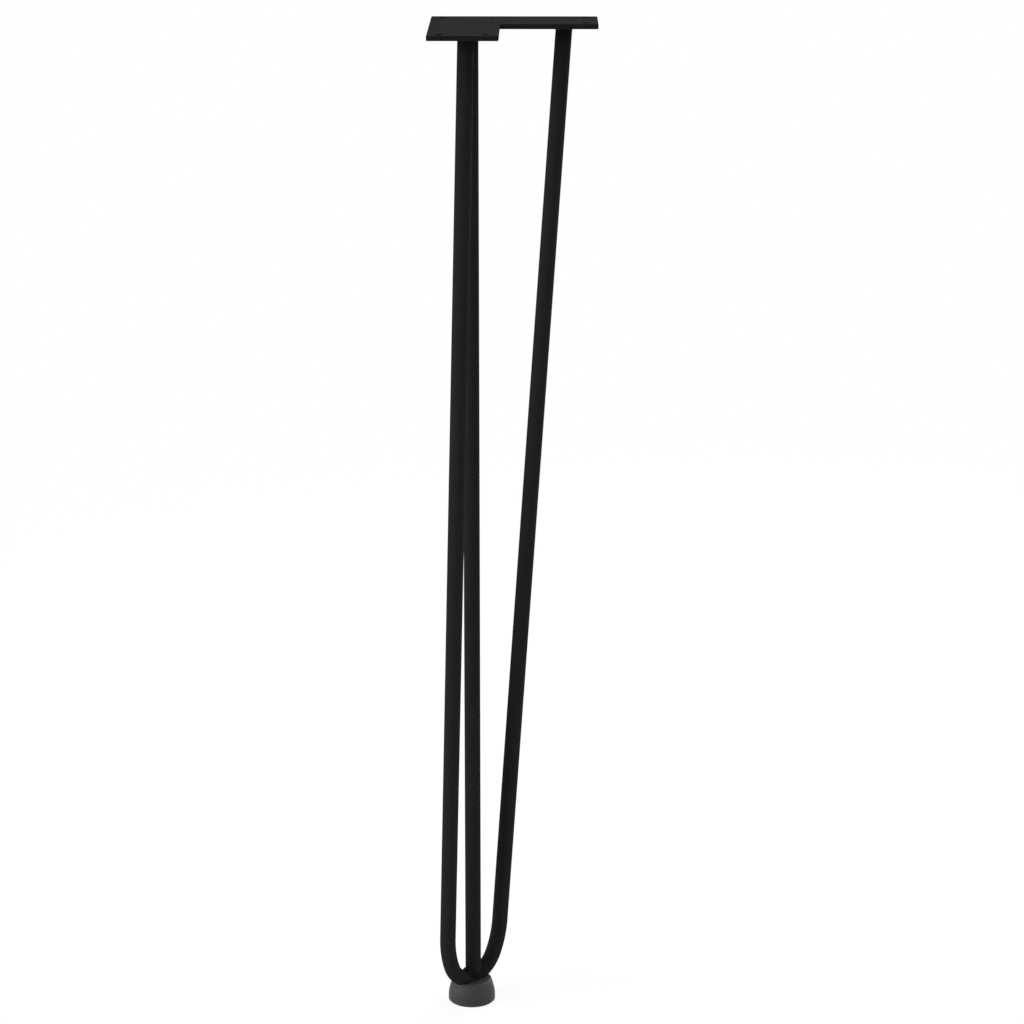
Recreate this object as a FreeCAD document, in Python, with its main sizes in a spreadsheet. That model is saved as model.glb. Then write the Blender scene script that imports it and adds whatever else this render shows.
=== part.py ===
# Hairpin table leg: a bent rod and a straight rod welded under an L-shaped plate, on a round foot.
# The origin is on the corner rod's axis at the plate's mounting face, with +Z up, +X along the
# right arm and -Y along the front arm. Lengths are in millimetres and angles in degrees.

import FreeCAD, Part
import math
import os
import Sketcher
from FreeCAD import Rotation, Vector

SIZES = [
    ("overall_height", 756.0, "mounting face down to the floor"),
    ("plate_length", 120.0, "outer corner to the end of each arm"),
    ("plate_arm_width", 50.0, "width of each arm"),
    ("plate_thickness", 3.5, "flat steel"),
    ("plate_corner_radius", 1.5, "outer corners, seen from above"),
    ("plate_notch_radius", 2.0, "inner corner, seen from above"),
    ("plate_edge_chamfer", 0.4, "broken edges of both faces"),
    ("corner_rod_inset", 28.5, "both outer edges to the corner rod's axis"),
    ("side_rod_inset", 27.0, "an arm's outer edge to its side rod's axis"),
    ("side_rod_end_distance", 24.2, "an arm's end to its side rod's axis"),
    ("screw_hole_diameter", 6.0, "clearance for a 5 mm wood screw"),
    ("screw_hole_inset", 9.0, "edges of the plate to each screw hole's axis"),
    ("rod_diameter", 12.0, "round bar of both rods"),
    ("tip_radius", 24.0, "centreline of the tight bend"),
    ("tip_turn", 66.5, "angle of the tight bend, each side of its lowest point"),
    ("shoulder_radius", 70.0, "centreline of the gentle bend above it, up to each straight run"),
    ("tip_setback", 1.6, "bend's lowest point behind the corner rod's axis"),
    ("saddle_depth", 4.0, "how far the corner rod's saddle end reaches down over the bend"),
    ("saddle_gap", 0.1, "between the saddle end, with its welds, and the bend"),
    ("plate_weld_leg", 2.4, "leg of the weld round each rod under the plate"),
    ("plate_weld_bulge", 0.35, "how far that weld's face stands out"),
    ("tip_weld_radius", 1.7, "round weld in each crotch above the bend"),
    ("tip_weld_reach", 40.0, "angle of each of those welds round the crotch, each way"),
    ("foot_height", 17.5, "floor to the top of the foot"),
    ("foot_diameter", 36.0, "widest, near the floor"),
    ("foot_straight_height", 4.0, "floor to where the side starts to curve in"),
    ("foot_side_radius", 25.0, "bulge of the side"),
    ("foot_side_lean", 16.0, "angle of the side above the bulge"),
    ("foot_bottom_chamfer", 1.0, "broken edge at the floor"),
    ("foot_top_chamfer", 0.6, "broken edge round the top"),
    ("groove_depth", 5.2, "how deep the bend sits in the foot"),
    ("groove_clearance", 0.15, "between the bend and its groove"),
]

# What follows from the sizes. The side rods lie mirror-wise about the plate's diagonal, and the
# hairpin's own plane leans back from their top ends to the bend.
LAYOUT = [
    ("rod_radius", "Sizes.rod_diameter / 2", "both rods"),
    ("side_rod_along", "Sizes.plate_length - Sizes.corner_rod_inset - Sizes.side_rod_end_distance",
     "corner rod to a side rod, along the arm"),
    ("side_rod_across", "Sizes.corner_rod_inset - Sizes.side_rod_inset",
     "corner rod to a side rod, across the arm"),
    ("half_spread", "(side_rod_along + side_rod_across) / sqrt(2)",
     "middle of the hairpin to each of its top ends"),
    ("hairpin_offset", "(side_rod_along - side_rod_across) / sqrt(2)",
     "corner rod to the middle between the hairpin's top ends"),
    ("tip_depth", "Sizes.overall_height - Sizes.foot_height + Sizes.groove_depth - rod_radius",
     "mounting face to the bend's lowest centreline point"),
    ("hairpin_drop", "tip_depth - Sizes.plate_thickness", "height of the hairpin's centreline"),
    ("hairpin_travel", "hairpin_offset + Sizes.tip_setback", "how far the hairpin leans back"),
    ("hairpin_length", "sqrt(hairpin_drop ^ 2 + hairpin_travel ^ 2)", "in the leaning plane"),
    ("hairpin_tilt", "atan2(hairpin_travel; hairpin_drop)", "between that plane and upright"),
    ("bend_inset", "Sizes.shoulder_radius - Sizes.tip_radius", "between the two bends' centres"),
    ("shoulder_reach", "half_spread + bend_inset * sin(Sizes.tip_turn)",
     "a shoulder's centre to its own top end, across"),
    ("shoulder_rise", "hairpin_length - Sizes.tip_radius - bend_inset * cos(Sizes.tip_turn)",
     "a shoulder's centre to its own top end, up"),
    ("taper", "atan2(shoulder_reach; shoulder_rise)"
     " - asin(Sizes.shoulder_radius / sqrt(shoulder_reach ^ 2 + shoulder_rise ^ 2))",
     "lean of each straight run towards the other"),
]

# The hairpin's own frame: midway between its top ends, X along the diagonal, Z up its plane
DIAGONAL = "rotation(vector(0; 0; 1); 45)"
LEANING = f"{DIAGONAL} * rotation(vector(1; 0; 0); Layout.hairpin_tilt)"
HAIRPIN_ORIGIN = ("vector(Layout.hairpin_offset / sqrt(2); -Layout.hairpin_offset / sqrt(2);"
                  " -Sizes.plate_thickness)")
# A rod that is cut level with the plate's underside is first made this much too long
TRIM_ALLOWANCE = 2.0

doc = FreeCAD.newDocument("HairpinTableLeg")


def make_sheet(name, rows):
    sheet = doc.addObject("Spreadsheet::Sheet", name)
    for row, (alias, content, meaning) in enumerate(rows, start=1):
        sheet.set(f"A{row}", alias)
        sheet.set(f"B{row}", content)
        sheet.set(f"C{row}", meaning)
        sheet.setAlias(f"B{row}", alias)
    doc.recompute()
    return sheet


make_sheet("Sizes", [(alias, str(value), meaning) for alias, value, meaning in SIZES])
layout = make_sheet("Layout", [(alias, f"={rule}", meaning) for alias, rule, meaning in LAYOUT])


def value_of(expression):
    """The number that an expression gives, in millimetres or degrees."""
    result = layout.evalExpression(str(expression))
    return float(getattr(result, "Value", result))


def make_body(name, placement=None):
    body = doc.addObject("PartDesign::Body", name)
    body.Label = name
    if placement:
        body.setExpression("Placement", placement)
    return body


def origin_plane(body, role):
    return next(part for part in body.Origin.OriginFeatures if part.Role == role)


def make_sketch(body, name, role, height=None):
    sketch = body.newObject("Sketcher::SketchObject", name)
    sketch.AttachmentSupport = [(origin_plane(body, role), "")]
    sketch.MapMode = "FlatFace"
    if height:
        sketch.setExpression(".AttachmentOffset.Base.z", height)
    return sketch


def constrain(sketch, kind, *where):
    sketch.addConstraint(Sketcher.Constraint(kind, *where))


def drive(sketch, name, expression, kind, *where):
    """Add a dimension that follows the sheets."""
    value = value_of(expression)
    if kind == "Angle":
        value = math.radians(value)
    index = sketch.addConstraint(Sketcher.Constraint(kind, *where, value))
    sketch.renameConstraint(index, name)
    sketch.setExpression(f"Constraints.{name}", expression)


def add_feature(body, kind, name, sketch, **settings):
    feature = body.newObject(f"PartDesign::{kind}", name)
    feature.Profile = sketch
    for setting, value in settings.items():
        setattr(feature, setting, value)
    sketch.Visibility = False
    return feature


def dress_edges(body, kind, base, name, size, wanted):
    """Fillet or chamfer the edges of a feature that a test picks out."""
    doc.recompute()
    names = [f"Edge{i}" for i, edge in enumerate(base.Shape.Edges, start=1) if wanted(edge)]
    dressed = body.newObject(f"PartDesign::{kind}", name)
    dressed.Base = (base, names)
    dressed.setExpression("Radius" if kind == "Fillet" else "Size", size)
    return dressed


def join(name, pieces):
    joined = doc.addObject("Part::MultiFuse", name)
    joined.Shapes = pieces
    return joined


def cut_away(name, base, tool):
    remainder = doc.addObject("Part::Cut", name)
    remainder.Label = name
    remainder.Base = base
    remainder.Tool = tool
    return remainder


# Mounting plate

def draw_plate_outline(body):
    inset = value_of("Sizes.corner_rod_inset")
    length = value_of("Sizes.plate_length")
    width = value_of("Sizes.plate_arm_width")
    left, back = -inset, inset
    corners = [
        (left, back), (left, back - length), (left + width, back - length),
        (left + width, back - width), (left + length, back - width), (left + length, back),
    ]
    sketch = make_sketch(body, "plate_outline", "XY_Plane")
    for start, end in zip(corners, corners[1:] + corners[:1]):
        sketch.addGeometry(Part.LineSegment(Vector(*start), Vector(*end)))
    for side in range(len(corners)):
        constrain(sketch, "Coincident", side, 2, (side + 1) % len(corners), 1)
        constrain(sketch, "Horizontal" if side % 2 else "Vertical", side)
    drive(sketch, "left_edge", "-Sizes.corner_rod_inset", "DistanceX", -1, 1, 0, 1)
    drive(sketch, "back_edge", "Sizes.corner_rod_inset", "DistanceY", -1, 1, 0, 1)
    drive(sketch, "front_arm_length", "Sizes.plate_length", "Distance", 0)
    drive(sketch, "front_arm_width", "Sizes.plate_arm_width", "Distance", 1)
    drive(sketch, "right_arm_width", "Sizes.plate_arm_width", "Distance", 4)
    drive(sketch, "right_arm_length", "Sizes.plate_length", "Distance", 5)
    return sketch


def draw_screw_holes(body):
    """One hole in the outer corner and a pair across the end of each arm."""
    near = "(Sizes.screw_hole_inset - Sizes.corner_rod_inset)"
    across = "(Sizes.plate_arm_width - Sizes.screw_hole_inset - Sizes.corner_rod_inset)"
    far = "(Sizes.plate_length - Sizes.screw_hole_inset - Sizes.corner_rod_inset)"
    places = [
        ("corner", near, near), ("right_back", far, near), ("right_front", far, across),
        ("front_left", near, far), ("front_right", across, far),
    ]
    sketch = make_sketch(body, "screw_holes", "XY_Plane")
    radius = value_of("Sizes.screw_hole_diameter / 2")
    for index, (name, right, forward) in enumerate(places):
        centre = Vector(value_of(right), -value_of(forward))
        sketch.addGeometry(Part.Circle(centre, Vector(0, 0, 1), radius))
        drive(sketch, f"{name}_x", right, "DistanceX", -1, 1, index, 3)
        drive(sketch, f"{name}_y", f"-{forward}", "DistanceY", -1, 1, index, 3)
        drive(sketch, f"{name}_diameter", "Sizes.screw_hole_diameter", "Diameter", index)
    return sketch


def is_upright(edge):
    low, high = edge.BoundBox.ZMin, edge.BoundBox.ZMax
    return high - low > 0.99 * edge.Length


def make_mounting_plate():
    body = make_body("mounting_plate")
    blank = add_feature(body, "Pad", "plate_blank", draw_plate_outline(body), Reversed=True)
    blank.setExpression("Length", "Sizes.plate_thickness")
    notch = value_of("Sizes.plate_arm_width - Sizes.corner_rod_inset")

    def in_notch(edge):
        middle = edge.CenterOfMass
        return abs(middle.x - notch) < 0.01 and abs(middle.y + notch) < 0.01

    corners = dress_edges(body, "Fillet", blank, "plate_corners", "Sizes.plate_corner_radius",
                          lambda edge: is_upright(edge) and not in_notch(edge))
    inner = dress_edges(body, "Fillet", corners, "plate_notch", "Sizes.plate_notch_radius",
                        lambda edge: is_upright(edge) and in_notch(edge))
    rim = dress_edges(body, "Chamfer", inner, "plate_rim", "Sizes.plate_edge_chamfer",
                      lambda edge: not is_upright(edge))
    holes = add_feature(body, "Pocket", "screw_hole_cut", draw_screw_holes(body), Type="ThroughAll")
    doc.recompute()
    if not holes.Shape.Volume < rim.Shape.Volume:
        raise ValueError("the screw holes cut nothing")
    return body


# Hairpin bar

def draw_half_hairpin(body):
    """Half of the bar's centreline, from the lowest point up one side."""
    tip, shoulder = value_of("Sizes.tip_radius"), value_of("Sizes.shoulder_radius")
    turn, taper = math.radians(value_of("Sizes.tip_turn")), math.radians(value_of("Layout.taper"))
    inset = value_of("Layout.bend_inset")
    tip_centre = Vector(0, tip - value_of("Layout.hairpin_length"))
    shoulder_centre = tip_centre + Vector(-math.sin(turn), math.cos(turn)) * inset
    shoulder_end = shoulder_centre + Vector(math.cos(taper), -math.sin(taper)) * shoulder
    top_spread = f"Layout.half_spread + {TRIM_ALLOWANCE} * tan(Layout.taper)"
    top = Vector(value_of(top_spread), TRIM_ALLOWANCE)
    joint = turn - math.pi / 2
    up = Vector(0, 0, 1)
    sketch = make_sketch(body, "half_centreline", "XZ_Plane")
    sketch.addGeometry(Part.ArcOfCircle(Part.Circle(tip_centre, up, tip), -math.pi / 2, joint))
    sketch.addGeometry(
        Part.ArcOfCircle(Part.Circle(shoulder_centre, up, shoulder), joint, -taper))
    sketch.addGeometry(Part.LineSegment(shoulder_end, top))
    constrain(sketch, "Tangent", 0, 2, 1, 1)
    constrain(sketch, "Tangent", 1, 2, 2, 1)
    constrain(sketch, "PointOnObject", 0, 1, -2)
    constrain(sketch, "PointOnObject", 0, 3, -2)
    drive(sketch, "tip_radius", "Sizes.tip_radius", "Radius", 0)
    drive(sketch, "tip_turn", "Sizes.tip_turn * 1 deg", "Angle", 0)
    drive(sketch, "shoulder_radius", "Sizes.shoulder_radius", "Radius", 1)
    drive(sketch, "tip_level", "-Layout.hairpin_length", "DistanceY", -1, 1, 0, 1)
    drive(sketch, "top_level", f"{TRIM_ALLOWANCE}", "DistanceY", -1, 1, 2, 2)
    drive(sketch, "top_spread", top_spread, "DistanceX", -1, 1, 2, 2)
    return sketch


def draw_bar_section(body):
    sketch = make_sketch(body, "bar_section", "YZ_Plane")
    centre = Vector(0, -value_of("Layout.hairpin_length"))
    sketch.addGeometry(Part.Circle(centre, Vector(0, 0, 1), value_of("Layout.rod_radius")))
    constrain(sketch, "PointOnObject", 0, 3, -2)
    drive(sketch, "level", "-Layout.hairpin_length", "DistanceY", -1, 1, 0, 3)
    drive(sketch, "bar_diameter", "Sizes.rod_diameter", "Diameter", 0)
    return sketch


def make_hairpin_bar():
    body = make_body("hairpin_bar", f"placement({HAIRPIN_ORIGIN}; {LEANING})")
    centreline = draw_half_hairpin(body)
    half = add_feature(body, "AdditivePipe", "half_bar", draw_bar_section(body),
                       Spine=(centreline, ["Edge1", "Edge2", "Edge3"]))
    doc.recompute()
    bar = body.newObject("PartDesign::Mirrored", "whole_bar")
    bar.Originals = [half]
    bar.MirrorPlane = (origin_plane(body, "YZ_Plane"), [""])
    body.Tip = bar
    return body


def make_bend_channel(name, clearance):
    """The lower half of a ring that runs with the tight bend, to leave it room in a piece."""
    ring = doc.addObject("Part::Torus", name)
    ring.setExpression("Radius1", "Sizes.tip_radius")
    ring.setExpression("Radius2", f"Layout.rod_radius + {clearance}")
    ring.Angle3 = 180
    bend_centre = "vector(0; 0; Sizes.tip_radius - Layout.hairpin_length)"
    place = f"placement({HAIRPIN_ORIGIN}; {LEANING})"
    hanging = f"placement({bend_centre}; rotation(vector(1; 0; 0); -90))"
    ring.setExpression("Placement", f"{place} * {hanging}")
    return ring


# Corner bar

def make_corner_bar():
    body = make_body("corner_bar", f"placement(vector(0; 0; 0); {DIAGONAL})")
    sketch = make_sketch(body, "corner_bar_section", "XY_Plane", "-Sizes.plate_thickness")
    sketch.addGeometry(Part.Circle(Vector(0, 0), Vector(0, 0, 1), value_of("Layout.rod_radius")))
    constrain(sketch, "Coincident", 0, 3, -1, 1)
    drive(sketch, "bar_diameter", "Sizes.rod_diameter", "Diameter", 0)
    bar = add_feature(body, "Pad", "corner_bar_pad", sketch, Reversed=True)
    bar.setExpression("Length", "Layout.hairpin_drop - Layout.rod_radius + Sizes.saddle_depth")
    return body


# Foot

def draw_foot_profile(body):
    radius, height = value_of("Sizes.foot_diameter / 2"), value_of("Sizes.foot_height")
    straight, side = value_of("Sizes.foot_straight_height"), value_of("Sizes.foot_side_radius")
    lean = math.radians(value_of("Sizes.foot_side_lean"))
    side_centre = Vector(radius - side, straight)
    bulge_top = side_centre + Vector(math.cos(lean), math.sin(lean)) * side
    shoulder = Vector(bulge_top.x - (height - bulge_top.y) * math.tan(lean), height)
    outline = [
        Part.LineSegment(Vector(0, 0), Vector(radius, 0)),
        Part.LineSegment(Vector(radius, 0), Vector(radius, straight)),
        Part.ArcOfCircle(Part.Circle(side_centre, Vector(0, 0, 1), side), 0, lean),
        Part.LineSegment(bulge_top, shoulder),
        Part.LineSegment(shoulder, Vector(0, height)),
        Part.LineSegment(Vector(0, height), Vector(0, 0)),
    ]
    sketch = make_sketch(body, "foot_profile", "XZ_Plane")
    sketch.addGeometry(outline)
    constrain(sketch, "Coincident", 0, 1, -1, 1)
    constrain(sketch, "Horizontal", 0)
    constrain(sketch, "Coincident", 0, 2, 1, 1)
    constrain(sketch, "Vertical", 1)
    constrain(sketch, "Tangent", 1, 2, 2, 1)
    constrain(sketch, "Tangent", 2, 2, 3, 1)
    constrain(sketch, "Coincident", 3, 2, 4, 1)
    constrain(sketch, "Horizontal", 4)
    constrain(sketch, "Coincident", 4, 2, 5, 1)
    constrain(sketch, "Coincident", 5, 2, 0, 1)
    constrain(sketch, "Vertical", 5)
    drive(sketch, "widest", "Sizes.foot_diameter / 2", "DistanceX", -1, 1, 0, 2)
    drive(sketch, "straight_height", "Sizes.foot_straight_height", "Distance", 1)
    drive(sketch, "side_radius", "Sizes.foot_side_radius", "Radius", 2)
    drive(sketch, "side_lean", "Sizes.foot_side_lean * 1 deg", "Angle", 2)
    drive(sketch, "top_level", "Sizes.foot_height", "DistanceY", -1, 1, 4, 2)
    return sketch


def make_foot_moulding():
    """The foot before its groove. Its own origin is on the floor, under the bend's lowest point."""
    across = "Sizes.tip_setback / sqrt(2)"
    base = f"vector(-{across}; {across}; -Sizes.overall_height)"
    body = make_body("foot_moulding", f"placement({base}; {DIAGONAL})")
    profile = draw_foot_profile(body)
    dome = add_feature(body, "Revolution", "foot_dome", profile,
                       ReferenceAxis=(profile, ["V_Axis"]), Angle=360)
    top = value_of("Sizes.foot_height")
    lower = dress_edges(body, "Chamfer", dome, "foot_bottom_edge", "Sizes.foot_bottom_chamfer",
                        lambda edge: edge.BoundBox.ZMax < 0.01)
    dress_edges(body, "Chamfer", lower, "foot_top_edge", "Sizes.foot_top_chamfer",
                lambda edge: edge.BoundBox.ZMin > top - 0.01)
    return body


# Weld metal

def draw_weld_section(body):
    """A slightly bulging fillet weld and the bar inside it, with the toe at the underside."""
    rod, leg = value_of("Layout.rod_radius"), value_of("Sizes.plate_weld_leg")
    root, toe = Vector(rod, -leg), Vector(rod + leg, 0)
    swell = Vector(1, -1).normalize() * value_of("Sizes.plate_weld_bulge")
    bottom, top = Vector(0, -leg), Vector(0, TRIM_ALLOWANCE)
    outer_top = Vector(toe.x, TRIM_ALLOWANCE)
    outline = [
        Part.LineSegment(top, bottom),
        Part.LineSegment(bottom, root),
        Part.Arc(root, (root + toe) / 2 + swell, toe),
        Part.LineSegment(toe, outer_top),
        Part.LineSegment(outer_top, top),
    ]
    sketch = make_sketch(body, f"{body.Name}_section", "XZ_Plane")
    sketch.addGeometry(outline)
    for side in range(len(outline)):
        constrain(sketch, "Coincident", side, 2, (side + 1) % len(outline), 1)
    constrain(sketch, "PointOnObject", 0, 2, -2)
    constrain(sketch, "Vertical", 0)
    constrain(sketch, "Horizontal", 1)
    constrain(sketch, "Vertical", 3)
    constrain(sketch, "Horizontal", 4)
    drive(sketch, "root_radius", "Layout.rod_radius", "DistanceX", -1, 1, 1, 2)
    drive(sketch, "root_level", "-Sizes.plate_weld_leg", "DistanceY", -1, 1, 1, 2)
    drive(sketch, "toe_radius", "Layout.rod_radius + Sizes.plate_weld_leg",
          "DistanceX", -1, 1, 3, 1)
    drive(sketch, "toe_level", "0", "DistanceY", -1, 1, 3, 1)
    drive(sketch, "top_level", f"{TRIM_ALLOWANCE}", "DistanceY", -1, 1, 3, 2)
    drive(sketch, "face_radius", "(Sizes.plate_weld_leg ^ 2 / 2 + Sizes.plate_weld_bulge ^ 2)"
          " / (2 * Sizes.plate_weld_bulge)", "Radius", 2)
    return sketch


def make_plate_weld(name, x, y, turn):
    """A weld all round the top of one rod, about that rod's own axis."""
    body = make_body(name, f"placement(vector({x}; {y}; -Sizes.plate_thickness); {turn})")
    section = draw_weld_section(body)
    add_feature(body, "Revolution", f"{name}_bead", section,
                ReferenceAxis=(section, ["V_Axis"]), Angle=360)
    return body


def make_side_rod_welds():
    along, across = "Layout.side_rod_along", "Layout.side_rod_across"
    ends = [
        ("front_weld", f"-{across}", f"-{along}", "-Layout.taper"),
        ("right_weld", along, across, "Layout.taper"),
    ]
    return [
        make_plate_weld(name, x, y, f"{LEANING} * rotation(vector(0; 1; 0); {taper})")
        for name, x, y, taper in ends
    ]


def crotch_point(bar, side, across):
    """Where a plumb line down the corner rod's side meets the bend."""
    rod, tip_depth = value_of("Layout.rod_radius"), value_of("Layout.tip_depth")
    diagonal = Rotation(Vector(0, 0, 1), 45)
    spot = diagonal.multVec(Vector(side * math.sqrt(rod ** 2 - across ** 2), across))
    deepest = spot - Vector(0, 0, tip_depth)
    plumb = Part.makeLine(deepest + Vector(0, 0, value_of("Sizes.tip_radius")), deepest)
    return max((vertex.Point for vertex in bar.common(plumb).Vertexes), key=lambda point: point.z)


def make_tip_welds(hairpin_bar):
    """A round bead in each of the two crotches between the corner rod and the bend."""
    doc.recompute()
    radius = value_of("Sizes.tip_weld_radius")
    # Seen from above, both bars cover a strip as wide as their overlap across the bend
    middle = value_of("Sizes.tip_setback / 2")
    reach = (value_of("Layout.rod_radius") - middle) * value_of("sin(Sizes.tip_weld_reach)")
    welds = []
    for name, side in (("left_tip_weld", -1), ("right_tip_weld", 1)):
        start, crotch, end = [crotch_point(hairpin_bar.Shape, side, middle + offset)
                              for offset in (-reach, 0, reach)]
        run = Part.Arc(start, crotch, end)
        section = Part.Circle(start, run.tangent(run.FirstParameter)[0], radius).toShape()
        bead = Part.Wire([run.toShape()]).makePipe(Part.Face(Part.Wire([section])))
        weld = doc.addObject("Part::Feature", name)
        weld.Shape = bead.fuse([Part.makeSphere(radius, tail) for tail in (start, end)])
        welds.append(weld)
    return welds


def make_trim_block():
    """Everything above the plate's underside."""
    block = doc.addObject("Part::Box", "above_underside")
    for side in ("Length", "Width", "Height"):
        block.setExpression(side, "2 * Sizes.plate_length")
    block.setExpression("Placement.Base.x", "-Sizes.plate_length")
    block.setExpression("Placement.Base.y", "-Sizes.plate_length")
    block.setExpression("Placement.Base.z", "-Sizes.plate_thickness")
    return block


def make_pieces():
    """Each rod carries its own weld metal, and is cut level with the plate that it is welded to."""
    above_underside = make_trim_block()
    bar = make_hairpin_bar()
    welded_bar = join("welded_hairpin", [bar, *make_side_rod_welds()])
    corner_weld = make_plate_weld("corner_weld", "0", "0", DIAGONAL)
    welded_corner = join("welded_corner_bar",
                         [make_corner_bar(), corner_weld, *make_tip_welds(bar)])
    saddle = make_bend_channel("saddle_channel", "Sizes.saddle_gap")
    groove = make_bend_channel("foot_groove", "Sizes.groove_clearance")
    pieces = [
        make_mounting_plate(),
        cut_away("hairpin_rod", welded_bar, above_underside),
        cut_away("corner_rod", cut_away("saddled_bar", welded_corner, saddle), above_underside),
        cut_away("foot", make_foot_moulding(), groove),
    ]
    doc.recompute()
    return pieces


def check(pieces):
    for item in doc.Objects:
        if "Invalid" in item.State or "Error" in item.State:
            raise ValueError(f"{item.Name} failed: {item.State}")
    for piece in pieces:
        if piece.Shape.isNull() or not piece.Shape.isValid() or len(piece.Shape.Solids) != 1:
            raise ValueError(f"{piece.Label} isn't one valid solid")


def export(pieces):
    os.makedirs("parts", exist_ok=True)
    for piece in pieces:
        piece.Shape.exportStep(os.path.join("parts", f"{piece.Label}.step"))
        print(f"{piece.Label}: {piece.Shape.Volume:.0f} mm3")


leg_pieces = make_pieces()
check(leg_pieces)
export(leg_pieces)
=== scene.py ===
# Hairpin table leg: materials, finer bars with their welds, studio light and camera, in metres.
import math

import bmesh
import bpy
from mathutils import Matrix, Vector
from mathutils.bvhtree import BVHTree


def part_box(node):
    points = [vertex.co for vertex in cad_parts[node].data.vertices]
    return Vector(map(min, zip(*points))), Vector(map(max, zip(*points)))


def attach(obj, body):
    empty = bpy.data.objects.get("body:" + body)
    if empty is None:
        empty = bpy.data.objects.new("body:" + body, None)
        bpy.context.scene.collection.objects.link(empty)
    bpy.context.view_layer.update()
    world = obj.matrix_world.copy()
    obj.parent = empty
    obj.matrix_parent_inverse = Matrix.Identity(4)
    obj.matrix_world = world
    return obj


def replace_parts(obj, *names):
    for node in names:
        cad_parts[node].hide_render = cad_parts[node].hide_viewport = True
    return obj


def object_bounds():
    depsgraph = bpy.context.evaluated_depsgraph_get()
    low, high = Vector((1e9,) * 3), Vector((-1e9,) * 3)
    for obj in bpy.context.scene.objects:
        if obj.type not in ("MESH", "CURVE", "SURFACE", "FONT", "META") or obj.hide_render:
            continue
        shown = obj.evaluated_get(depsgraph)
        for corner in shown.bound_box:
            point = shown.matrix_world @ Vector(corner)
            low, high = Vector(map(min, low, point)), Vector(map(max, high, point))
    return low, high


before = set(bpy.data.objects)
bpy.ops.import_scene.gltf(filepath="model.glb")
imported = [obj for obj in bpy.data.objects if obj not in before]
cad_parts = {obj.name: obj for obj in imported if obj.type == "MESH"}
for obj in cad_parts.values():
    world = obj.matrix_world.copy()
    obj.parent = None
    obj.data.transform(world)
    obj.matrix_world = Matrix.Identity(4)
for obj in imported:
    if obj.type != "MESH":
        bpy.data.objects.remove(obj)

cad_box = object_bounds()

MM = 0.001
DOWN = Vector((0.0, 0.0, -1.0))

# Photograph's camera, found from the edges of the rods and the corners of the plate
IMAGE_SIZE = 1024
CAMERA_AT = Vector((0.0484, -2.2847, 0.2625))
CAMERA_PITCH = math.radians(15.327)
CAMERA_YAW = math.radians(0.461)
FOCAL_PIXELS = 3183.1
SENSOR_WIDTH = 36.0

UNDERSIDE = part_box("mounting_plate")[0].z
FLOOR_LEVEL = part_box("foot")[0].z
LEG_MIDDLE = (cad_box[0] + cad_box[1]) / 2

# Light: each soft box's name, place, size and power, and the world's strength as a fill
SOFT_BOXES = (
    ("key_left", Vector((-2.6, -1.2, 0.35)), 1.6, 92.0),
    ("fill_right", Vector((2.6, -0.8, 0.1)), 1.6, 28.0),
    ("overhead", Vector((-0.6, 0.3, 4.2)), 3.0, 68.0),
    ("rim_right", Vector((1.55, 1.98, 0.88)), 1.0, 46.0),
)
WORLD_FILL = 0.41

# Bars, in millimetres and radians. The bent bar lies in a plane that leans back from its two top
# ends, which stand mirror-wise about the plate's diagonal. Top and run are the right end's, in X
# and Y, and the run is per millimetre of drop.
BAR_RADIUS = 6.0
BAR_SIDES = 56
SIDE_BAR_TOP, SIDE_BAR_RUN = (67.3, 1.5), (-0.0676, 0.0251)
BEND_BEHIND_CORNER = 1.6
BEND_LEVEL = -737.7
TIP_RADIUS, TIP_TURN = 24.0, math.radians(66.5)
SHOULDER_RADIUS = 70.0
INTO_PLATE = 0.8

# Corner bar's lower end, in millimetres. Its last ring but one lies RING_RISE above the saddle,
# counted from no lower than RING_FLOOR.
ABOVE_BEND = -700.0
SADDLE_LEVEL = -735.7
SADDLE_BITE = 0.3
RING_FLOOR, RING_RISE = -728.0, 4.0

# Welds, in millimetres: how deep a bead's edges and its hidden body lie in the metal
EDGE_SINK = 0.1
BODY_SINK_PLATE, BODY_SINK_CROTCH = 1.2, 0.7

HALF_SPREAD = (SIDE_BAR_TOP[0] + SIDE_BAR_TOP[1]) / math.sqrt(2)
TOP_FORWARD = (SIDE_BAR_TOP[0] - SIDE_BAR_TOP[1]) / math.sqrt(2)
BAR_DROP = UNDERSIDE / MM - BEND_LEVEL
BAR_TRAVEL = TOP_FORWARD + BEND_BEHIND_CORNER
BAR_LENGTH = math.hypot(BAR_DROP, BAR_TRAVEL)
BAR_PLANE = (Matrix.Rotation(math.radians(45), 3, "Z")
             @ Matrix.Rotation(math.atan2(BAR_TRAVEL, BAR_DROP), 3, "X"))
BAR_ORIGIN = Vector((TOP_FORWARD / math.sqrt(2), -TOP_FORWARD / math.sqrt(2), UNDERSIDE / MM))


# Node helpers

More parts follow.
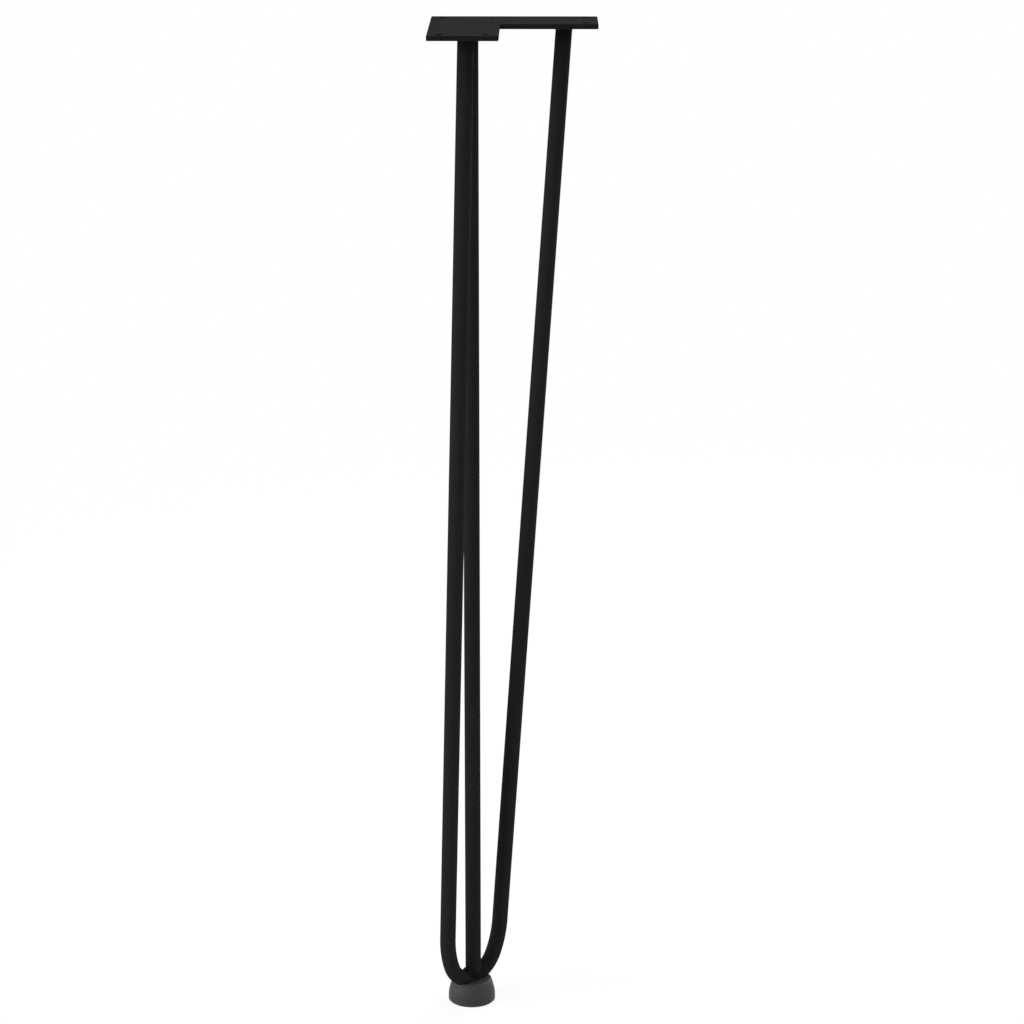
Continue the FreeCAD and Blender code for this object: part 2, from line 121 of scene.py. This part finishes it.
class Shader:
    """A material's node tree, with a short way to add nodes to it."""

    def __init__(self, name):
        self.material = bpy.data.materials.new(name)
        self.material.use_nodes = True
        self.tree = self.material.node_tree
        self.tree.nodes.clear()
        self.output = self.tree.nodes.new("ShaderNodeOutputMaterial")

    def add(self, kind, inputs=None, **settings):
        node = self.tree.nodes.new(f"ShaderNode{kind}")
        for setting, value in settings.items():
            setattr(node, setting, value)
        for socket, value in (inputs or {}).items():
            self.feed(node.inputs[socket], value)
        return node

    def feed(self, socket, value):
        if isinstance(value, bpy.types.NodeSocket):
            self.tree.links.new(value, socket)
        else:
            socket.default_value = value

    def millimetres(self, stretch=(1.0, 1.0, 1.0)):
        """Object coordinates in millimetres, stretched along each axis."""
        place = self.add("TexCoord").outputs["Object"]
        scale = [factor / MM for factor in stretch]
        return self.add("Mapping", {"Vector": place, "Scale": scale}).outputs["Vector"]

    def noise(self, place, scale, detail=2.0, roughness=0.5):
        inputs = {"Vector": place, "Scale": scale, "Detail": detail, "Roughness": roughness}
        return self.add("TexNoise", inputs).outputs["Fac"]

    def spread(self, value, low, high, start=0.3, end=0.7):
        """Map a pattern's usual range onto a range of another quantity."""
        inputs = {"Value": value, "From Min": start, "From Max": end,
                  "To Min": low, "To Max": high}
        return self.add("MapRange", inputs).outputs["Result"]

    def math(self, operation, *values):
        node = self.add("Math", operation=operation)
        for socket, value in zip(node.inputs, values):
            self.feed(socket, value)
        return node.outputs["Value"]

    def blend(self, factor, first, second):
        node = self.add("Mix", data_type="RGBA")
        colour_a, colour_b, colour_result = 6, 7, 2
        self.feed(node.inputs["Factor"], factor)
        self.feed(node.inputs[colour_a], first)
        self.feed(node.inputs[colour_b], second)
        return node.outputs[colour_result]

    def bump(self, height, strength, distance, below=None):
        node = self.add("Bump", {"Height": height, "Strength": strength, "Distance": distance})
        if below is not None:
            self.feed(node.inputs["Normal"], below)
        return node.outputs["Normal"]

    def finish(self, shader):
        self.tree.links.new(shader, self.output.inputs["Surface"])
        return self.material


def grey(level, tint=(1.0, 1.0, 1.0)):
    return (*(level * part for part in tint), 1.0)


# Materials

def powder_coat(name, level, drawn_lines, shine):
    """Matt black powder coat: orange peel, a fine grain, and a bar's drawn lines faintly below."""
    make = Shader(name)
    place = make.millimetres()
    grain = make.noise(place, scale=1.6, detail=3.0, roughness=0.6)
    peel = make.noise(place, scale=0.42, detail=1.0)
    cloud = make.noise(place, scale=0.03, detail=2.0)
    lines = make.noise(make.millimetres(stretch=(1.0, 1.0, 0.04)), scale=0.9, detail=2.0)
    shade = make.spread(grain, low=0.0, high=0.7)
    shade = make.math("ADD", shade, make.spread(cloud, low=0.0, high=0.1))
    shade = make.math("ADD", shade, make.spread(lines, low=0.0, high=drawn_lines))
    colour = make.blend(shade, grey(level * 0.55), grey(level * 1.6, tint=(1.0, 1.0, 1.02)))
    rough = make.spread(cloud, low=0.89, high=0.95)
    rough = make.math("ADD", rough, make.spread(grain, low=-0.03, high=0.03))
    normal = make.bump(peel, strength=0.8, distance=0.3 * MM)
    normal = make.bump(grain, strength=0.8, distance=0.3 * MM, below=normal)
    normal = make.bump(lines, strength=drawn_lines, distance=0.1 * MM, below=normal)
    coat = make.add("BsdfPrincipled", {
        "Base Color": colour, "Roughness": rough, "Normal": normal,
        "IOR": 1.5, "Specular IOR Level": shine,
    })
    return make.finish(coat.outputs["BSDF"])


def moulded_plastic(name, level):
    """Matt dark-grey plastic with a spark-eroded grain, scuffed a little paler at the floor."""
    make = Shader(name)
    place = make.millimetres()
    grain = make.noise(place, scale=2.6, detail=3.0, roughness=0.7)
    flow = make.noise(make.millimetres(stretch=(0.12, 0.12, 0.5)), scale=0.5, detail=2.0)
    height = make.add("SeparateXYZ", {"Vector": place}).outputs["Z"]
    floor = FLOOR_LEVEL / MM
    near_floor = make.spread(height, low=1.0, high=0.0, start=floor + 0.6, end=floor + 2.2)
    scuffs = make.noise(place, scale=0.7, detail=4.0)
    scuffs = make.spread(scuffs, low=0.0, high=1.0, start=0.5, end=0.62)
    scuffed = make.math("MULTIPLY", near_floor, scuffs)
    shade = make.spread(grain, low=0.0, high=0.6)
    shade = make.math("ADD", shade, make.spread(flow, low=0.0, high=0.4))
    colour = make.blend(shade, grey(level * 0.7), grey(level * 1.3, tint=(1.0, 1.0, 1.01)))
    scuff_share = make.math("MULTIPLY", scuffed, 0.3)
    colour = make.blend(scuff_share, colour, grey(level * 2.0))
    rough = make.spread(grain, low=0.48, high=0.58)
    rough = make.math("ADD", rough, make.math("MULTIPLY", scuffed, 0.1))
    plastic = make.add("BsdfPrincipled", {
        "Base Color": colour, "Roughness": rough,
        "Normal": make.bump(grain, strength=0.8, distance=0.25 * MM),
        "IOR": 1.5, "Specular IOR Level": 0.24,
    })
    return make.finish(plastic.outputs["BSDF"])


def dress(node, material):
    """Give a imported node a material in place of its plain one."""
    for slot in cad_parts[node].material_slots:
        slot.material = material


def dress_leg():
    bar_coat = powder_coat("rod_powder_coat", 0.0106, drawn_lines=0.1, shine=0.04)
    plain_coat = powder_coat("plate_powder_coat", 0.0085, drawn_lines=0.0, shine=0.024)
    dress("mounting_plate", plain_coat)
    dress("foot", moulded_plastic("foot_plastic", 0.0215))
    make_bars_and_welds(bar_coat, plain_coat)


# Bars

def sweep(name, sections, closed):
    """A closed skin through a row of sections, each a ring of points in millimetres."""
    mesh = bmesh.new()
    rings = [[mesh.verts.new(point * MM) for point in section] for section in sections]
    for ring, following in zip(rings, rings[1:] + (rings[:1] if closed else [])):
        for side in range(len(ring)):
            after = (side + 1) % len(ring)
            mesh.faces.new((ring[side], ring[after], following[after], following[side]))
    for face in mesh.faces:
        face.smooth = True
    if not closed:
        mesh.faces.new(rings[0])
        mesh.faces.new(rings[-1])
    bmesh.ops.recalc_face_normals(mesh, faces=mesh.faces)
    data = bpy.data.meshes.new(name)
    mesh.to_mesh(data)
    mesh.free()
    return data


def put_on_leg(data, coat):
    """Put a bar or weld of the leg in the scene, dressed."""
    data.materials.append(coat)
    piece = bpy.data.objects.new(data.name, data)
    bpy.context.scene.collection.objects.link(piece)
    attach(piece, "root")
    return piece


def round_section(centre, across, through):
    """A bar's ring of points about a centre, from two directions square to its run."""
    turns = [math.tau * side / BAR_SIDES for side in range(BAR_SIDES)]
    return [centre + (across * math.cos(turn) + through * math.sin(turn)) * BAR_RADIUS
            for turn in turns]


def arc(centre, radius, start, end, steps):
    """Points of a bend, each with the angle it has turned, without its last one."""
    turns = [start + (end - start) * step / steps for step in range(steps)]
    return [(centre + Vector((math.sin(turn), -math.cos(turn))) * radius, turn) for turn in turns]


def half_centreline():
    """Points up one side of the bent bar, each with the angle it has turned from the lowest."""
    tip_steps, shoulder_steps, stretches = 28, 14, 8
    tip = Vector((0.0, TIP_RADIUS - BAR_LENGTH))
    inset = SHOULDER_RADIUS - TIP_RADIUS
    shoulder = tip + Vector((-math.sin(TIP_TURN), math.cos(TIP_TURN))) * inset
    taper = (math.atan2(HALF_SPREAD - shoulder.x, -shoulder.y)
             - math.asin(SHOULDER_RADIUS / math.hypot(HALF_SPREAD - shoulder.x, shoulder.y)))
    full_turn = math.pi / 2 - taper
    outward = Vector((math.sin(full_turn), -math.cos(full_turn)))
    straight_start = shoulder + outward * SHOULDER_RADIUS
    top = Vector((HALF_SPREAD + INTO_PLATE * math.tan(taper), INTO_PLATE))
    straight = [(straight_start.lerp(top, step / stretches), full_turn)
                for step in range(stretches + 1)]
    return (arc(tip, TIP_RADIUS, 0.0, TIP_TURN, tip_steps)
            + arc(shoulder, SHOULDER_RADIUS, TIP_TURN, full_turn, shoulder_steps)
            + straight)


def make_bent_bar():
    right_side = half_centreline()
    left_side = [(Vector((-point.x, point.y)), -turn) for point, turn in right_side[:0:-1]]
    sections = []
    for point, turn in left_side + right_side:
        centre = BAR_ORIGIN + BAR_PLANE @ Vector((point.x, 0.0, point.y))
        across = BAR_PLANE @ Vector((math.sin(turn), 0.0, -math.cos(turn)))
        sections.append(round_section(centre, across, BAR_PLANE @ Vector((0.0, 1.0, 0.0))))
    return sweep("bent_bar", sections, closed=False)


def make_corner_bar(bend):
    """The straight bar, with its lower end shaped to saddle the bend."""
    levels = [UNDERSIDE / MM + INTO_PLATE, *range(-120, -601, -120), ABOVE_BEND]
    across, through = Vector((1.0, 0.0, 0.0)), Vector((0.0, 1.0, 0.0))
    sections = [round_section(Vector((0.0, 0.0, level)), across, through) for level in levels]
    saddle, above_saddle = [], []
    for point in sections[-1]:
        spot = bend.ray_cast(point, DOWN)[0]
        level = max(spot.z - SADDLE_BITE, SADDLE_LEVEL) if spot else SADDLE_LEVEL
        saddle.append(Vector((point.x, point.y, level)))
        above_saddle.append(Vector((point.x, point.y, max(level, RING_FLOOR) + RING_RISE)))
    return sweep("corner_bar", sections + [above_saddle, saddle], closed=False)


# Weld beads

def scales(turns, across):
    """Height, 0 to 1, of a weld's overlapping scales, whose edges bow forward along its middle."""
    phase = (turns + 0.5 * across ** 2) % 1.0
    return (1.0 - math.cos(math.tau * phase ** 1.7)) / 2


def bead_section(root, toe, out, inner, turns, size, bulge, scale_height):
    """Fillet weld's section: a crowned, scaled face from root to toe, closed through the metal."""
    steps = 10
    face = []
    for step in range(steps + 1):
        share = step / steps
        across = 2 * share - 1
        crown = bulge * (1 - across ** 2)
        height = scale_height * scales(turns, across) * (1 - 0.6 * across ** 4)
        face.append(root.lerp(toe, share) + out * (crown + height) * size)
    return face + inner


def outward_at(angle):
    return Vector((math.cos(angle), math.sin(angle), 0.0))


def mirrored(spot):
    """A spot's or run's two coordinates, across the plate's diagonal."""
    return -spot[1], -spot[0]


def make_plate_weld(name, top, run, coat):
    """A bead of weld all round a rod's top end, in the corner under the plate."""
    leg, start, scale_count, steps = 2.55, 0.8, 19, 228
    sections = []
    for step in range(steps):
        angle = start + math.tau * step / steps
        outward = outward_at(angle)
        wander = 1 + 0.05 * math.sin(2 * angle + 1.1) + 0.03 * math.sin(5 * angle)
        reach = leg * wander

        def point(beyond, below):
            axis = Vector((*top, UNDERSIDE / MM)) + Vector((*run, -1.0)) * below
            return axis + outward * (BAR_RADIUS + beyond)

        root, toe = point(-EDGE_SINK, reach), point(reach, -EDGE_SINK)
        inner = [point(reach, -INTO_PLATE), point(-BODY_SINK_PLATE, -INTO_PLATE),
                 point(-BODY_SINK_PLATE, reach * 0.8)]
        turns = scale_count * step / steps + 0.15 * math.sin(3 * angle)
        sections.append(bead_section(root, toe, (outward + DOWN).normalized(), inner, turns,
                                     size=1.0, bulge=0.45, scale_height=0.3))
    put_on_leg(sweep(name, sections, closed=True), coat)


def surface_of(data):
    """A mesh's surface, in millimetres, to look points up on."""
    points = [vertex.co / MM for vertex in data.vertices]
    return BVHTree.FromPolygons(points, [tuple(face.vertices) for face in data.polygons])


def crotch_line(bend, facing):
    """Where the straight bar meets one side of the bend: its spots, each with the direction out
    from the straight bar and the bend's normal."""
    half_turn, steps, least_rise = math.radians(68), 120, 0.2
    line = []
    for step in range(steps + 1):
        outward = outward_at(facing + half_turn * (2 * step / steps - 1))
        above = outward * BAR_RADIUS + Vector((0.0, 0.0, ABOVE_BEND))
        spot, normal = bend.ray_cast(above, DOWN)[:2]
        if spot and normal.z > least_rise:
            line.append((spot, outward, normal))
    return line


def make_crotch_weld(name, bend, facing, leg, coat):
    """A short bead of weld in the corner between the straight bar and one side of the bend."""
    scale_count, end_size, spot_sink = 11, 0.06, 1.0
    line = crotch_line(bend, facing)
    steps = len(line) - 1
    sections = []
    for step, (spot, outward, normal) in enumerate(line):
        before, after = line[max(step - 1, 0)][0], line[min(step + 1, steps)][0]
        along = (after - before).normalized()
        up = outward.cross(along)
        up = up if up.z > 0 else -up
        away = along.cross(normal)
        away = away if away.dot(outward) > 0 else -away
        size = max(1 - abs(2 * step / steps - 1) ** 4, end_size)
        reach = leg * size * (1 + 0.04 * math.sin(0.2 * step))
        root = spot + up * reach
        root = Vector((*(root.xy.normalized() * (BAR_RADIUS - EDGE_SINK)), root.z))
        toe, toe_normal = bend.find_nearest(spot + away * reach)[:2]
        toe -= toe_normal * EDGE_SINK
        out = (outward + normal).normalized()
        inner = [toe - toe_normal * BODY_SINK_CROTCH, spot - out * spot_sink,
                 root - outward * BODY_SINK_CROTCH]
        sections.append(bead_section(root, toe, out, inner, scale_count * step / steps, size,
                                     bulge=0.12 * leg, scale_height=0.2))
    put_on_leg(sweep(name, sections, closed=False), coat)


def make_bars_and_welds(bar_coat, weld_coat):
    """Finer stand-ins for the two rods, whose weld metal is laid on in scaled beads."""
    bent = make_bent_bar()
    bend = surface_of(bent)
    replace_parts(put_on_leg(bent, bar_coat), "hairpin_rod")
    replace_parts(put_on_leg(make_corner_bar(bend), bar_coat), "corner_rod")
    make_plate_weld("corner_weld", top=(0.0, 0.0), run=(0.0, 0.0), coat=weld_coat)
    make_plate_weld("right_weld", top=SIDE_BAR_TOP, run=SIDE_BAR_RUN, coat=weld_coat)
    make_plate_weld("front_weld", top=mirrored(SIDE_BAR_TOP), run=mirrored(SIDE_BAR_RUN),
                    coat=weld_coat)
    make_crotch_weld("right_crotch_weld", bend, math.radians(45), leg=4.4, coat=weld_coat)
    make_crotch_weld("left_crotch_weld", bend, math.radians(225), leg=2.4, coat=weld_coat)


# Studio

def paper_white(name):
    """Pale floor that the camera sees as white, and that still shows the leg's shadow near it."""
    make = Shader(name)
    place = make.millimetres()
    distance = make.add("VectorMath", {0: place}, operation="LENGTH").outputs["Value"]
    seen = make.spread(distance, low=0.9, high=1.0, start=500.0, end=1800.0)
    tone = make.spread(make.noise(place, scale=0.02, detail=3.0), low=0.88, high=0.9)
    fibre = make.noise(place, scale=0.5, detail=3.0)
    paper = make.add("BsdfDiffuse", {
        "Color": make.add("CombineColor", {"Red": tone, "Green": tone, "Blue": tone}).outputs[0],
        "Normal": make.bump(fibre, strength=0.1, distance=0.1 * MM),
    })
    glow = make.add("Emission", {"Color": grey(1.0), "Strength": 1.0})
    rays = make.add("LightPath").outputs
    shown = make.math("MAXIMUM", rays["Is Camera Ray"], rays["Is Glossy Ray"])
    shown = make.math("MAXIMUM", shown, rays["Is Transmission Ray"])
    share = make.math("MULTIPLY", shown, seen)
    mixed = make.add("MixShader", {0: share, 1: paper.outputs[0], 2: glow.outputs[0]})
    return make.finish(mixed.outputs[0])


def make_floor():
    half = 40.0
    corners = [(-half, -half, 0), (half, -half, 0), (half, half, 0), (-half, half, 0)]
    mesh = bpy.data.meshes.new("studio_floor")
    mesh.from_pydata(corners, [], [(0, 1, 2, 3)])
    floor = bpy.data.objects.new("studio_floor", mesh)
    floor.location.z = FLOOR_LEVEL
    mesh.materials.append(paper_white("floor_paper"))
    bpy.context.scene.collection.objects.link(floor)


def make_soft_box(name, place, size, power):
    """A square area light aimed at the middle of the leg."""
    lamp = bpy.data.lights.new(name, "AREA")
    lamp.shape = "SQUARE"
    lamp.size = size
    lamp.energy = power
    box = bpy.data.objects.new(name, lamp)
    box.location = place
    box.rotation_euler = (LEG_MIDDLE - place).to_track_quat("-Z", "Y").to_euler()
    bpy.context.scene.collection.objects.link(box)


def make_world():
    """White where the camera, a gloss or a glass sees it, and a softer fill for the rest."""
    world = bpy.data.worlds.new("studio")
    world.use_nodes = True
    nodes, links = world.node_tree.nodes, world.node_tree.links
    background = nodes["Background"]
    background.inputs["Color"].default_value = grey(1.0)
    rays = nodes.new("ShaderNodeLightPath").outputs
    shown = rays["Is Camera Ray"]
    for ray in ("Is Glossy Ray", "Is Transmission Ray"):
        either = nodes.new("ShaderNodeMath")
        either.operation = "MAXIMUM"
        links.new(shown, either.inputs[0])
        links.new(rays[ray], either.inputs[1])
        shown = either.outputs["Value"]
    strength = nodes.new("ShaderNodeMapRange")
    strength.inputs["To Min"].default_value = WORLD_FILL
    strength.inputs["To Max"].default_value = 1.0
    links.new(shown, strength.inputs["Value"])
    links.new(strength.outputs["Result"], background.inputs["Strength"])
    bpy.context.scene.world = world


def make_camera():
    lens = bpy.data.cameras.new("camera")
    lens.sensor_width = SENSOR_WIDTH
    lens.lens = FOCAL_PIXELS * SENSOR_WIDTH / IMAGE_SIZE
    lens.clip_end = 200.0
    camera = bpy.data.objects.new("camera", lens)
    camera.location = CAMERA_AT
    camera.rotation_euler = (math.pi / 2 - CAMERA_PITCH, 0.0, CAMERA_YAW)
    bpy.context.scene.collection.objects.link(camera)
    bpy.context.scene.camera = camera


dress_leg()
make_floor()
for soft_box in SOFT_BOXES:
    make_soft_box(*soft_box)
make_world()
make_camera()
bpy.context.scene.view_settings.view_transform = "Standard"
